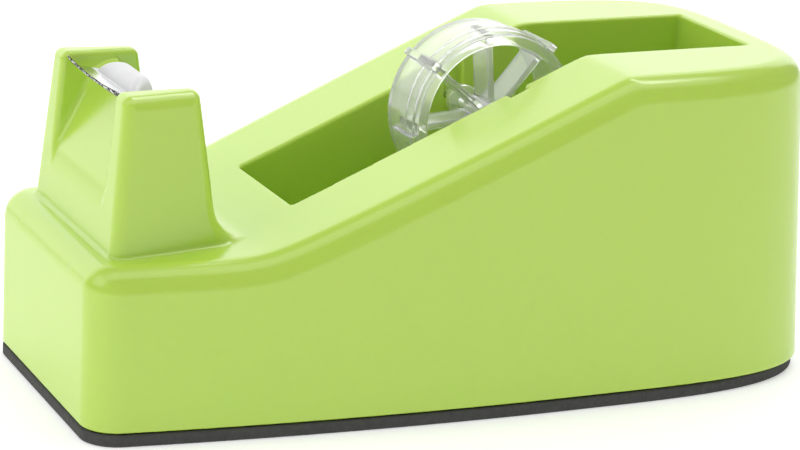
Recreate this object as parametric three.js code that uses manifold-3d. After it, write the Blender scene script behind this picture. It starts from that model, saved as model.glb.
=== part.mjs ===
// A weighted desktop tape dispenser for 19 mm tape on a 1 inch core.
//
// Frame: millimetres, +Z up, +X towards the back, the cutter at -X, +Y to the left of a user who
// stands at the back. The origin is the middle of the pad's underside.
//
// The housing is one moulding, open underneath. Its plan is a long barrel: a flat front with small
// corners, gently bowed sides, and a back that is half of a squircle. Its top runs level at the
// front, climbs in a straight slope, and runs level again at the back. The cutter tower stands on
// the front, and the tape well is sunk into the slope. The wheel turns on a loose axle, which drops
// into an upright groove in each side wall of the well and lifts out again to change the roll.

import * as THREE from "three";
import { mergeVertices } from "three/addons/utils/BufferGeometryUtils.js";
import Module from "manifold-3d";

const wasm = await Module();
wasm.setup();

// ---------- driving dimensions ----------

const LENGTH = 108;
const WIDTH = 52.7;
const FIT = 0.3; // clearance between pieces that meet

const PAD_THICKNESS = 1.7;
const PAD_REAR_POWER = 3.6; // the pad's back corners are rounder than the housing's

const FRONT_DECK = 23.4; // height of the level top in front
const REAR_DECK = 45.1; // height of the level top at the back
const SLOPE_FOOT = -30.6; // where the slope would leave the front deck
const SLOPE_RISE = 0.4332; // rise of the slope per millimetre
const DECK_BLEND = 0.8; // how softly the front deck runs into the slope
const TOP_EDGE_RADIUS = 3.5;
const SIDE_BOW_RADIUS = 454;
const WIDEST_AT = 12.9; // where the plan is widest
const FRONT_CORNER_RADIUS = 4.3;
const SQUIRCLE_POWER = 4;
const FRONT_DRAFT = 0.01; // how far a wall leans in per millimetre of height
const SIDE_DRAFT = 0.004;
const REAR_DRAFT = 0.064;
const WALL = 2.2;
const HOLLOW_EDGE_RADIUS = 1.5;

const TOWER_TOP = 44.15;
const TOWER_FRONT = [-49.9, -47.8]; // at the deck and at the top
const TOWER_REAR = [-34.3, -37.1];
const TOWER_HALF_WIDTH = [17.3, 16.1]; // at its front face
const TOWER_NARROWING = 2.2; // each side, from the front to the back of its foot
const TOWER_EDGE_RADIUS = 1.3;
const TOWER_FLARE_RADIUS = 5.5; // where its back runs out into the deck
const TOWER_HOLLOW = {
  foot: { front: -47.6, rear: -37.2, halfWidth: 14.4, height: 19 },
  top: { front: -43.2, rear: -39.4, halfWidth: 9.6, height: 36 },
};
const CHEEK_GAP = 22.4; // between the two cheeks
const RECESS_START = { x: -49.6, z: 29.4 }; // where the recess leaves the tower's front face
const RECESS_LEAN = 0.55; // how far the recess floor runs back per millimetre of height
const SEAT_HEIGHT = 41.6; // floor under the steel, between the cheeks
const SEAT_REAR = -40.4; // from here the seat falls to the tower's back
const SEAT_FALL = THREE.MathUtils.degToRad(50);
const SHOULDER_RADIUS = 4.3; // conical shoulders on the seat: their radius against each cheek
const SHOULDER_TAPER = 0.3; // how fast they shrink away from the cheek
const SHOULDER_AXIS = { x: -40.3, z: 38.6 };
const SHOULDER_RISE = 0.9; // how far they stand above the falling back of the seat

const WELL_FRONT = -22.7;
const WELL_REAR = 45;
const WELL_WIDTH = 20;
const WELL_FLOOR = 5.5;
const WELL_WALL = 2.4;

const AXLE = { x: 9.3, z: 35.2 };
const AXLE_RADIUS = 1;
const AXLE_COLLAR_RADIUS = 2.3;
const AXLE_COLLAR_AT = 6.2; // inner face of the collar, from the middle
const AXLE_COLLAR_THICKNESS = 1.3;
const GROOVE_DEPTH = 1.4; // into each side wall of the well

const RIM_INNER_RADIUS = 10.4;
const RIM_BANDS = [ // from the right face of the rim to the left, each between two places along Y
  { radius: 11.85, right: -4.95, left: -3.6 },
  { radius: 12.2, right: -3.6, left: -1.6 },
  { radius: 12.4, right: -1.6, left: 0.5 },
  { radius: 12.2, right: 0.5, left: 4.95 },
];
const HUB_RADIUS = 2.1;
const HUB_SPAN = { right: -3.8, left: 2.3 };
const SPOKE_COUNT = 8;
const FIRST_SPOKE = 50; // degrees from +X towards +Z
const SPOKE_THICKNESS = 0.9;
const SPOKE_SPAN = { right: -3.25, left: 1.85 };
const GRIP_REACH = 13; // radius to the tops of the ribs that grip the tape's core
const GRIP_THICKNESS = 1.1;
const GRIP_SPAN = { right: -4.7, left: 4.7 };
const SHORT_GRIP_SPAN = { right: -4.7, left: 2 };
const GRIPS = [
  { degrees: 50, span: GRIP_SPAN },
  { degrees: 140, span: GRIP_SPAN },
  { degrees: 190, span: SHORT_GRIP_SPAN },
  { degrees: 275, span: GRIP_SPAN },
  { degrees: 320, span: GRIP_SPAN },
];

const STEEL = 0.3; // thickness of the cutter's sheet
const TOOTH_COUNT = 22;
const TOOTH_DEPTH = 0.6;
const TOOTH_EDGE = 0.12; // thickness left at the tips
const BLADE_FRONT = -47.2; // tips of the teeth
const BLADE_BEND = { x: -46, z: 42.4 }; // the strip falls to here and then lies level
const BLADE_BACK = -43;
const BLADE_HALF_WIDTH = 10.9;
const BLADE_BACK_HALF_WIDTH = 7.4; // the level part draws in to here
const BLADE_HEIGHT = 43.4; // tips of the teeth at the middle of the blade
const BLADE_BOW = 0.6; // how far its ends rise above its middle
const LANDING_RADIUS = 2.35;
const LANDING_AXIS = { x: -42, z: 41.75 };
const LANDING_REAR = -40.5;
const LANDING_HALF_WIDTH = 5.2; // along the crest of the arch
const LANDING_TAPER = 0.65; // how much each side draws in per millimetre to the back
const LANDING_LEAN = 0.8; // how much each side draws in per millimetre of height

const PLATE_THICKNESS = 2;
const SCREW_RADIUS = 1;
const SCREW_LENGTH = 9;
const SCREW_HEAD_RADIUS = 2.3;
const SCREW_HEAD_HEIGHT = 1;
const SCREW_SLOT = { width: 0.6, length: 3, depth: 0.5 };
const BOSS_RADIUS = 3;
const BOSSES = { front: { x: -44.5, y: 15.6 }, rear: { x: 38, y: 17.6 } };

const SIDE_WEIGHT = { front: -20, rear: 31, inner: 13.1, outer: 21.1, height: 14 };
const FRONT_WEIGHT = { front: -38.5, rear: -25.8, halfWidth: 17, height: 13 };
const WEIGHT_BEVEL = 0.8;

// ---------- derived values ----------

const BODY_BOTTOM = PAD_THICKNESS + FIT / 2;
const PLATE_TOP = BODY_BOTTOM + PLATE_THICKNESS;
const BOSS_BOTTOM = PLATE_TOP + FIT;
const FRONT_FACE = -LENGTH / 2;
const REAR_REACH = LENGTH / 2 - WIDEST_AT;
const BORE_RADIUS = AXLE_RADIUS + FIT;
const GROOVE_RADIUS = AXLE_RADIUS + FIT;
const AXLE_HALF_LENGTH = WELL_WIDTH / 2 + GROOVE_DEPTH - FIT;

// ---------- materials ----------

const limePlastic = new THREE.MeshStandardMaterial({ color: 0xb4da5e, roughness: 0.28, metalness: 0 });
const clearPlastic = new THREE.MeshStandardMaterial({
  color: 0xe9f0ee, roughness: 0.08, metalness: 0, transparent: true, opacity: 0.4,
});
const brushedSteel = new THREE.MeshStandardMaterial({ color: 0xdcdcdc, roughness: 0.32, metalness: 1 });
const foam = new THREE.MeshStandardMaterial({ color: 0x434341, roughness: 0.95, metalness: 0 });
const castIron = new THREE.MeshStandardMaterial({ color: 0x4a4c4e, roughness: 0.7, metalness: 0.9 });
const greyPlastic = new THREE.MeshStandardMaterial({ color: 0x5b5d5c, roughness: 0.6, metalness: 0 });

// ---------- meshes and solids ----------

const group = new THREE.Group();

function addPart(name, geometry, material) {
  const mesh = new THREE.Mesh(geometry, material);
  mesh.name = name;
  group.add(mesh);
  return mesh;
}

function toSolid(geometry) {
  const bare = geometry.clone();
  bare.deleteAttribute("normal");
  bare.deleteAttribute("uv");
  const merged = mergeVertices(bare, 1e-4);
  const vertProperties = new Float32Array(merged.attributes.position.array);
  const triVerts = new Uint32Array(merged.index.array);
  return new wasm.Manifold(new wasm.Mesh({ numProp: 3, vertProperties, triVerts }));
}

function toGeometry(solid) {
  const mesh = solid.getMesh();
  const geometry = new THREE.BufferGeometry();
  geometry.setAttribute("position", new THREE.BufferAttribute(new Float32Array(mesh.vertProperties), 3));
  geometry.setIndex(new THREE.BufferAttribute(new Uint32Array(mesh.triVerts), 1));
  geometry.computeVertexNormals();
  return geometry;
}

// Skins rings of equal length, listed from one end to the other. A ring runs counter-clockwise as
// seen from the last ring, and point i lies opposite point (last - i), so each end closes with rungs.
function skin(rings) {
  const size = rings[0].length;
  const last = rings.length - 1;
  const positions = rings.flat().flatMap((point) => [point.x, point.y, point.z]);
  const faces = [];
  for (let level = 0; level < last; level += 1) {
    for (let i = 0; i < size; i += 1) {
      const near = level * size + i;
      const next = level * size + ((i + 1) % size);
      faces.push(near, next, next + size, near, next + size, near + size);
    }
  }
  for (let i = 0; i < size / 2 - 1; i += 1) {
    const [a, b, c, d] = [i, i + 1, size - 2 - i, size - 1 - i];
    const top = last * size;
    faces.push(a, c, b, a, d, c);
    faces.push(top + a, top + b, top + c, top + a, top + c, top + d);
  }
  const geometry = new THREE.BufferGeometry();
  geometry.setAttribute("position", new THREE.Float32BufferAttribute(positions, 3));
  geometry.setIndex(faces);
  return geometry;
}

// Completes a ring from its points with y below 0, which run from the front to the back.
function mirrored(points) {
  const left = points.map((point) => new THREE.Vector3(point.x, -point.y, point.z));
  return [...points, ...left.reverse()];
}

function box(front, rear, halfWidth, bottom, top) {
  const geometry = new THREE.BoxGeometry(rear - front, 2 * halfWidth, top - bottom);
  geometry.translate((front + rear) / 2, 0, (bottom + top) / 2);
  return geometry;
}

function upright(radius, x, y, bottom, top, sides = 24) {
  const geometry = new THREE.CylinderGeometry(radius, radius, top - bottom, sides);
  geometry.rotateX(Math.PI / 2);
  geometry.translate(x, y, (bottom + top) / 2);
  return geometry;
}

// A prism across the object, from its outline in the X-Z plane.
function crossPrism(outline, halfWidth) {
  const shape = new THREE.Shape(outline.map(([x, z]) => new THREE.Vector2(x, z)));
  const geometry = new THREE.ExtrudeGeometry(shape, { depth: 2 * halfWidth, bevelEnabled: false });
  geometry.rotateX(Math.PI / 2);
  geometry.translate(0, halfWidth, 0);
  return geometry;
}

// ---------- housing ----------

// The larger of two heights, with a soft change between them.
function softMax(a, b, softness) {
  return (a + b + Math.hypot(a - b, 2 * softness)) / 2;
}

function deckHeight(x) {
  const slope = FRONT_DECK + SLOPE_RISE * (x - SLOPE_FOOT);
  const climbing = softMax(FRONT_DECK, slope, DECK_BLEND);
  return -softMax(-REAR_DECK, -climbing, DECK_BLEND / 4);
}

// The housing's plan at some inset from its skin and some height: the half with y below 0.
function planPoint(stretch, t, inset, z, rearPower) {
  const above = z - BODY_BOTTOM;
  const front = FRONT_FACE + inset + FRONT_DRAFT * above;
  const halfWidth = WIDTH / 2 - inset - SIDE_DRAFT * above;
  const corner = Math.max(FRONT_CORNER_RADIUS - inset, 0.4);
  const sideStart = front + corner;
  const sideAt = (x) => halfWidth - (WIDEST_AT - x) ** 2 / (2 * SIDE_BOW_RADIUS);
  if (stretch === "corner") {
    const angle = (t * Math.PI) / 2;
    const y = sideAt(sideStart) - corner * (1 - Math.sin(angle));
    return [front + corner * (1 - Math.cos(angle)), -y];
  }
  if (stretch === "side") {
    const x = sideStart + t * (WIDEST_AT - sideStart);
    return [x, -sideAt(x)];
  }
  const reach = REAR_REACH - inset - REAR_DRAFT * above;
  const angle = (1 - t) * (Math.PI / 2);
  const power = 2 / rearPower;
  return [WIDEST_AT + reach * Math.cos(angle) ** power, -halfWidth * Math.sin(angle) ** power];
}

const PLAN_STEPS = [];
for (let i = 0; i < 5; i += 1) PLAN_STEPS.push(["corner", i / 5]);
for (let i = 0; i < 18; i += 1) PLAN_STEPS.push(["side", i / 18]);
for (let i = 0; i < 22; i += 1) PLAN_STEPS.push(["rear", i / 22]);
PLAN_STEPS.push(["rear", 0.99]);

function planRing(inset, heightAt, rearPower = SQUIRCLE_POWER) {
  const points = PLAN_STEPS.map(([stretch, t]) => {
    const [roughX] = planPoint(stretch, t, inset, BODY_BOTTOM, rearPower);
    const [x, y] = planPoint(stretch, t, inset, heightAt(roughX), rearPower);
    return new THREE.Vector3(x, y, heightAt(x));
  });
  return mirrored(points);
}

// The housing's outer form, or a smaller one inside it.
function bodyForm(inset, bottom, edgeRadius) {
  const rings = [planRing(inset, () => bottom)];
  const steps = 5;
  for (let i = 0; i <= steps; i += 1) {
    const angle = (i / steps) * (Math.PI / 2);
    const drop = inset + edgeRadius * (1 - Math.sin(angle));
    rings.push(planRing(inset + edgeRadius * (1 - Math.cos(angle)), (x) => deckHeight(x) - drop));
  }
  return toSolid(skin(rings));
}

function slab(inset, bottom, top, rearPower) {
  return toSolid(skin([planRing(inset, () => bottom, rearPower), planRing(inset, () => top, rearPower)]));
}

function mix([low, high], share) {
  return low + share * (high - low);
}

// A level ring of the tower: a rectangle with rounded corners, a little narrower at its back.
function towerRing(front, rear, halfWidthAt, radius, z) {
  const points = [];
  const steps = 4;
  for (let i = 0; i <= steps; i += 1) {
    const angle = (i / steps) * (Math.PI / 2);
    const x = front + radius * (1 - Math.cos(angle));
    points.push(new THREE.Vector3(x, -halfWidthAt(x) + radius * (1 - Math.sin(angle)), z));
  }
  for (let i = 0; i <= steps; i += 1) {
    const angle = (i / steps) * (Math.PI / 2);
    const x = rear - radius * (1 - Math.sin(angle));
    points.push(new THREE.Vector3(x, -halfWidthAt(x) + radius * (1 - Math.cos(angle)), z));
  }
  return mirrored(points);
}

function towerRingAt(z, inset) {
  const share = (z - FRONT_DECK) / (TOWER_TOP - FRONT_DECK);
  const rise = Math.max(z - FRONT_DECK, 0);
  const bend = Math.max(TOWER_FLARE_RADIUS - rise, 0);
  const flare = TOWER_FLARE_RADIUS - Math.sqrt(TOWER_FLARE_RADIUS ** 2 - bend ** 2);
  const front = mix(TOWER_FRONT, share) + inset;
  const rear = mix(TOWER_REAR, share) + flare - inset;
  const footLength = TOWER_REAR[0] - TOWER_FRONT[0];
  const halfWidthAt = (x) => {
    const along = Math.min(Math.max((x - TOWER_FRONT[0]) / footLength, 0), 1);
    return mix(TOWER_HALF_WIDTH, share) - TOWER_NARROWING * along - inset;
  };
  return towerRing(front, rear, halfWidthAt, TOWER_EDGE_RADIUS - inset / 2, z);
}

function towerForm() {
  const rings = [towerRingAt(FRONT_DECK - 0.5, 0)];
  const flareSteps = 6;
  for (let i = 1; i <= flareSteps; i += 1) {
    rings.push(towerRingAt(FRONT_DECK + TOWER_FLARE_RADIUS * (i / flareSteps) ** 2, 0));
  }
  const steps = 4;
  for (let i = 0; i <= steps; i += 1) {
    const angle = (i / steps) * (Math.PI / 2);
    const z = TOWER_TOP - TOWER_EDGE_RADIUS * (1 - Math.sin(angle));
    rings.push(towerRingAt(z, TOWER_EDGE_RADIUS * (1 - Math.cos(angle))));
  }
  return toSolid(skin(rings));
}

// The height at which a plane above the falling back of the seat stands at x.
function fallHeight(x, rise) {
  return SEAT_HEIGHT + (rise - (x - SEAT_REAR) * Math.sin(SEAT_FALL)) / Math.cos(SEAT_FALL);
}

// The space between the cheeks: over a leaning floor in front, a level seat for the steel, and the
// seat's falling back.
function cheekGap() {
  const beyond = 5;
  const seatEdge = RECESS_START.x + RECESS_LEAN * (SEAT_HEIGHT - RECESS_START.z);
  const below = { x: RECESS_START.x - RECESS_LEAN * beyond, z: RECESS_START.z - beyond };
  const outline = [
    [below.x, below.z],
    [seatEdge, SEAT_HEIGHT],
    [SEAT_REAR, SEAT_HEIGHT],
    [TOWER_REAR[0], fallHeight(TOWER_REAR[0], 0)],
    [TOWER_REAR[0], TOWER_TOP + beyond],
    [below.x, TOWER_TOP + beyond],
  ];
  return toSolid(crossPrism(outline, CHEEK_GAP / 2));
}

// The two shoulders on the seat: pieces of cones about an axis across the tower, each widest
// against its cheek, and cut off along the seat's falling back.
function shoulders() {
  const cheek = CHEEK_GAP / 2;
  const inner = cheek - SHOULDER_RADIUS;
  const outer = cheek + FIT;
  const radiusAt = (y) => SHOULDER_RADIUS - SHOULDER_TAPER * (cheek - y);
  const left = new THREE.CylinderGeometry(radiusAt(outer), radiusAt(inner), outer - inner, 48);
  left.translate(SHOULDER_AXIS.x, (inner + outer) / 2, SHOULDER_AXIS.z);
  const right = left.clone().rotateX(Math.PI);
  right.translate(0, 0, 2 * SHOULDER_AXIS.z);
  const front = SHOULDER_AXIS.x - SHOULDER_RADIUS;
  const rear = SHOULDER_AXIS.x + SHOULDER_RADIUS - 1;
  const kept = [
    [front, SEAT_HEIGHT - FIT],
    [SEAT_REAR, SEAT_HEIGHT - FIT],
    [rear, fallHeight(rear, -FIT)],
    [rear, fallHeight(rear, SHOULDER_RISE)],
    [SEAT_REAR - 1, fallHeight(SEAT_REAR - 1, SHOULDER_RISE)],
    [front, TOWER_TOP],
  ];
  return toSolid(left).add(toSolid(right)).intersect(toSolid(crossPrism(kept, outer)));
}

// The moulding's hollow under the tower, which keeps its walls even.
function towerHollow() {
  const ring = ({ front, rear, halfWidth, height }) =>
    towerRing(front, rear, () => halfWidth, HOLLOW_EDGE_RADIUS, height);
  return toSolid(skin([ring(TOWER_HOLLOW.foot), ring(TOWER_HOLLOW.top)]));
}

function bossPlaces() {
  const places = [];
  for (const [end, place] of Object.entries(BOSSES)) {
    places.push({ name: `${end}_right`, x: place.x, y: -place.y });
    places.push({ name: `${end}_left`, x: place.x, y: place.y });
  }
  return places;
}

function grooves() {
  const halfSpan = WELL_WIDTH / 2 + GROOVE_DEPTH;
  const slot = box(AXLE.x - GROOVE_RADIUS, AXLE.x + GROOVE_RADIUS, halfSpan, AXLE.z, REAR_DECK + 5);
  const seat = new THREE.CylinderGeometry(GROOVE_RADIUS, GROOVE_RADIUS, 2 * halfSpan, 24);
  seat.translate(AXLE.x, 0, AXLE.z);
  return toSolid(slot).add(toSolid(seat));
}

function buildHousing() {
  const outer = bodyForm(0, BODY_BOTTOM, TOP_EDGE_RADIUS);
  let hollow = bodyForm(WALL, BODY_BOTTOM - 1, HOLLOW_EDGE_RADIUS).add(towerHollow());
  const wellOuter = box(
    WELL_FRONT - WELL_WALL, WELL_REAR + WELL_WALL, WELL_WIDTH / 2 + WELL_WALL, BOSS_BOTTOM, REAR_DECK);
  hollow = hollow.subtract(toSolid(wellOuter));
  for (const { x, y } of bossPlaces()) {
    hollow = hollow.subtract(toSolid(upright(BOSS_RADIUS, x, y, BOSS_BOTTOM, REAR_DECK)));
  }
  let housing = outer.add(towerForm()).subtract(cheekGap()).add(shoulders()).subtract(hollow);
  const well = box(WELL_FRONT, WELL_REAR, WELL_WIDTH / 2, WELL_FLOOR, REAR_DECK + 5);
  housing = housing.subtract(toSolid(well)).subtract(grooves());
  const boreTop = BODY_BOTTOM + SCREW_HEAD_HEIGHT + SCREW_LENGTH + FIT;
  for (const { x, y } of bossPlaces()) {
    housing = housing.subtract(toSolid(upright(SCREW_RADIUS + FIT, x, y, BODY_BOTTOM, boreTop)));
  }
  addPart("housing", toGeometry(housing), limePlastic);
}

// ---------- base ----------

function buildBase() {
  let plate = slab(WALL + FIT, BODY_BOTTOM, PLATE_TOP);
  for (const { x, y } of bossPlaces()) {
    const sink = BODY_BOTTOM + SCREW_HEAD_HEIGHT + FIT;
    plate = plate.subtract(toSolid(upright(SCREW_RADIUS + FIT, x, y, BODY_BOTTOM - 1, PLATE_TOP + 1)));
    plate = plate.subtract(toSolid(upright(SCREW_HEAD_RADIUS + FIT, x, y, BODY_BOTTOM - 1, sink)));
  }
  addPart("base_plate", toGeometry(plate), greyPlastic);
  addPart("non_slip_pad", toGeometry(slab(0, 0, PAD_THICKNESS, PAD_REAR_POWER)), foam);
}

function buildScrews() {
  for (const { name, x, y } of bossPlaces()) {
    const neck = BODY_BOTTOM + SCREW_HEAD_HEIGHT;
    let screw = toSolid(upright(SCREW_HEAD_RADIUS, x, y, BODY_BOTTOM, neck));
    screw = screw.add(toSolid(upright(SCREW_RADIUS, x, y, BODY_BOTTOM + 0.2, neck + SCREW_LENGTH, 16)));
    const { length, width, depth } = SCREW_SLOT;
    for (const [along, across] of [[length, width], [width, length]]) {
      const slot = new THREE.BoxGeometry(along, across, 2 * depth);
      slot.translate(x, y, BODY_BOTTOM);
      screw = screw.subtract(toSolid(slot));
    }
    addPart(`base_screw_${name}`, toGeometry(screw), brushedSteel);
  }
}

// A cast bar with bevelled edges that lies on the base plate.
function castBar(front, rear, right, left, height) {
  const shape = new THREE.Shape();
  const b = WEIGHT_BEVEL;
  shape.moveTo(front + b, right + b);
  shape.lineTo(rear - b, right + b);
  shape.lineTo(rear - b, left - b);
  shape.lineTo(front + b, left - b);
  shape.closePath();
  const geometry = new THREE.ExtrudeGeometry(shape, {
    depth: height - 2 * b, bevelThickness: b, bevelSize: b, bevelSegments: 2, steps: 1,
  });
  geometry.translate(0, 0, PLATE_TOP + FIT + b);
  return toGeometry(toSolid(geometry));
}

function buildWeights() {
  const side = SIDE_WEIGHT;
  const front = FRONT_WEIGHT;
  addPart("weight_left", castBar(side.front, side.rear, side.inner, side.outer, side.height), castIron);
  addPart("weight_right", castBar(side.front, side.rear, -side.outer, -side.inner, side.height), castIron);
  const bar = castBar(front.front, front.rear, -front.halfWidth, front.halfWidth, front.height);
  addPart("weight_front", bar, castIron);
}

// ---------- cutter ----------

// The toothed strip, bowed along its length: it falls back from the teeth to a bend and lies level
// behind it. It has one section at each tooth tip and one at each gap between two teeth.
function toothedStrip() {
  const rings = [];
  const stations = 2 * TOOTH_COUNT;
  for (let i = 0; i <= stations; i += 1) {
    const share = 1 - (2 * i) / stations;
    const y = BLADE_HALF_WIDTH * share;
    const backY = BLADE_BACK_HALF_WIDTH * share;
    const tip = BLADE_HEIGHT + BLADE_BOW * share ** 2;
    const run = BLADE_BEND.x - BLADE_FRONT;
    const fall = tip - BLADE_BEND.z;
    const length = Math.hypot(run, fall);
    const notch = i % 2 === 0 ? TOOTH_DEPTH / length : 0;
    const edge = { x: BLADE_FRONT + run * notch, z: tip - fall * notch };
    const under = { x: edge.x - (TOOTH_EDGE * fall) / length, z: edge.z - (TOOTH_EDGE * run) / length };
    const bendShift = STEEL * Math.tan(Math.atan2(fall, run) / 2);
    rings.push([
      new THREE.Vector3(under.x, y, under.z),
      new THREE.Vector3(BLADE_BEND.x - bendShift, y, BLADE_BEND.z - STEEL),
      new THREE.Vector3(BLADE_BACK, backY, BLADE_BEND.z - STEEL),
      new THREE.Vector3(BLADE_BACK, backY, BLADE_BEND.z),
      new THREE.Vector3(BLADE_BEND.x, y, BLADE_BEND.z),
      new THREE.Vector3(edge.x, y, edge.z),
    ]);
  }
  return toSolid(skin(rings));
}

// The arched landing's outer form, or a smaller one inside it. It narrows to the back and to the top.
function landingForm(inset) {
  const radius = LANDING_RADIUS - inset;
  const arch = [];
  const steps = 24;
  for (let i = 0; i <= steps; i += 1) {
    const angle = Math.PI * (1 - i / steps);
    arch.push([LANDING_AXIS.x + radius * Math.cos(angle), LANDING_AXIS.z + radius * Math.sin(angle)]);
  }
  const front = LANDING_AXIS.x - radius;
  const rear = LANDING_REAR - inset;
  const crest = LANDING_AXIS.z + LANDING_RADIUS;
  const corner = (x, z) => {
    const drawn = LANDING_TAPER * (x - LANDING_AXIS.x) - LANDING_LEAN * (crest - z);
    return new THREE.Vector3(x, drawn + inset - LANDING_HALF_WIDTH, z);
  };
  const level = (z) => mirrored([corner(front, z), corner(rear, z)]);
  const column = skin([level(SEAT_HEIGHT + FIT - inset), level(crest)]);
  return toSolid(crossPrism(arch, 2 * LANDING_HALF_WIDTH)).intersect(toSolid(column));
}

function buildCutter() {
  const landing = landingForm(0).subtract(landingForm(STEEL));
  addPart("cutter_blade", toGeometry(toothedStrip().add(landing)), brushedSteel);
}

// ---------- wheel and axle ----------

// A ring about the wheel's axis, from its section as [radius, across] points.
function turned(section, sides) {
  const profile = section.map(([radius, across]) => new THREE.Vector2(radius, across));
  return toSolid(new THREE.LatheGeometry(profile, sides));
}

function rim() {
  const section = [[RIM_INNER_RADIUS, RIM_BANDS[0].right]];
  for (const { radius, right, left } of RIM_BANDS) {
    section.push([radius, right], [radius, left]);
  }
  section.push([RIM_INNER_RADIUS, RIM_BANDS.at(-1).left], [RIM_INNER_RADIUS, RIM_BANDS[0].right]);
  return turned(section, 64);
}

function hub() {
  const { right, left } = HUB_SPAN;
  const section = [
    [BORE_RADIUS, right],
    [HUB_RADIUS, right],
    [HUB_RADIUS, left],
    [BORE_RADIUS, left],
    [BORE_RADIUS, right],
  ];
  return turned(section, 32);
}

// A plate that stands on the wheel's axis and reaches from one radius to another.
function radialPlate(degrees, inner, outer, thickness, span) {
  const geometry = new THREE.BoxGeometry(outer - inner, span.left - span.right, thickness);
  geometry.translate((inner + outer) / 2, (span.left + span.right) / 2, 0);
  geometry.rotateY(-THREE.MathUtils.degToRad(degrees));
  return toSolid(geometry);
}

function buildWheel() {
  let wheel = rim().add(hub());
  const inRim = RIM_INNER_RADIUS + 1;
  const inHub = (BORE_RADIUS + HUB_RADIUS) / 2;
  for (let i = 0; i < SPOKE_COUNT; i += 1) {
    const degrees = FIRST_SPOKE + (360 * i) / SPOKE_COUNT;
    wheel = wheel.add(radialPlate(degrees, inHub, inRim, SPOKE_THICKNESS, SPOKE_SPAN));
  }
  for (const { degrees, span } of GRIPS) {
    wheel = wheel.add(radialPlate(degrees, inRim, GRIP_REACH, GRIP_THICKNESS, span));
  }
  const mesh = addPart("core_wheel", toGeometry(wheel), clearPlastic);
  mesh.position.set(AXLE.x, 0, AXLE.z);
}

function buildAxle() {
  const collarEnd = AXLE_COLLAR_AT + AXLE_COLLAR_THICKNESS;
  const chamfer = 0.4;
  const half = [
    [AXLE_RADIUS, AXLE_COLLAR_AT],
    [AXLE_COLLAR_RADIUS, AXLE_COLLAR_AT],
    [AXLE_COLLAR_RADIUS, collarEnd - chamfer],
    [AXLE_COLLAR_RADIUS - chamfer, collarEnd],
    [AXLE_RADIUS, collarEnd],
    [AXLE_RADIUS, AXLE_HALF_LENGTH - chamfer],
    [AXLE_RADIUS - chamfer, AXLE_HALF_LENGTH],
    [0, AXLE_HALF_LENGTH],
  ];
  const section = [...half.map(([radius, across]) => [radius, -across]).reverse(), ...half];
  const mesh = addPart("axle_pin", toGeometry(turned(section, 32)), clearPlastic);
  mesh.position.set(AXLE.x, 0, AXLE.z);
}

buildHousing();
buildBase();
buildScrews();
buildWeights();
buildCutter();
buildWheel();
buildAxle();

export default group;
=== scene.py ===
"""A desktop tape dispenser in lime plastic, with a steel cutter and a clear core wheel.

Fine surfaces are made from fields: a field is a function of x, y and z in millimetres that is below
zero inside the solid, and close to the distance from its skin. Fields are joined and cut with rounded
edges, as a moulding has, and surface_of() turns the result into a mesh whose points lie on the skin.
"""

import math

import bpy
import numpy as np
from mathutils import Matrix, Vector


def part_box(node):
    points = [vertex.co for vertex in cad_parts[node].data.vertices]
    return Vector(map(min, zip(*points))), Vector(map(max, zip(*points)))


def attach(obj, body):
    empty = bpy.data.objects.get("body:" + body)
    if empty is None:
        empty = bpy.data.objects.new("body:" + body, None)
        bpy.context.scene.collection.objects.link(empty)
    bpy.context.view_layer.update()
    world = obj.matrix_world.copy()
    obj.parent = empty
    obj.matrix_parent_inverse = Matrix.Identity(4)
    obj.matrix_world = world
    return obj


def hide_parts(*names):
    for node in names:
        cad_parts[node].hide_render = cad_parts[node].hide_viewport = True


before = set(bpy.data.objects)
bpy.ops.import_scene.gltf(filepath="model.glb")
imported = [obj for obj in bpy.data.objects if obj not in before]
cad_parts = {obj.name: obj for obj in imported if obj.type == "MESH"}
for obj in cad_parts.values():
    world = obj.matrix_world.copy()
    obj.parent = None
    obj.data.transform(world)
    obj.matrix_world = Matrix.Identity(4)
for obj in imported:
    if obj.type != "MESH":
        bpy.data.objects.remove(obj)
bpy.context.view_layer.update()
MM = 0.001
TINY = 1e-3  # keeps divisions and radii off zero


# ---------- sizes, in millimetres ----------


def node_box(node):
    low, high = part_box(node)
    return np.array(low) / MM, np.array(high) / MM


HOUSING_LOW, HOUSING_HIGH = node_box("housing")
PAD_LOW, PAD_HIGH = node_box("non_slip_pad")
AXLE_LOW, AXLE_HIGH = node_box("axle_pin")
BLADE_LOW, BLADE_HIGH = node_box("cutter_blade")

FRONT_FACE = HOUSING_LOW[0]
REAR_FACE = HOUSING_HIGH[0]
HALF_WIDTH = HOUSING_HIGH[1]
BODY_BOTTOM = HOUSING_LOW[2]
REAR_DECK = HOUSING_HIGH[2]
AXLE_X = (AXLE_LOW[0] + AXLE_HIGH[0]) / 2
AXLE_Z = (AXLE_LOW[2] + AXLE_HIGH[2]) / 2

FRONT_DECK = 23.4
SLOPE_FOOT = -30.6
SLOPE_RISE = 0.4332
DECK_BLEND = 0.8
TOP_EDGE_RADIUS = 3.5
SIDE_BOW_RADIUS = 454
WIDEST_AT = 12.9
FRONT_CORNER_RADIUS = 4.3
FRONT_DRAFT = 0.01
SIDE_DRAFT = 0.004
REAR_DRAFT = 0.064
WALL = 2.2
EDGE = 0.35  # rounding of the moulding's small edges

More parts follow.
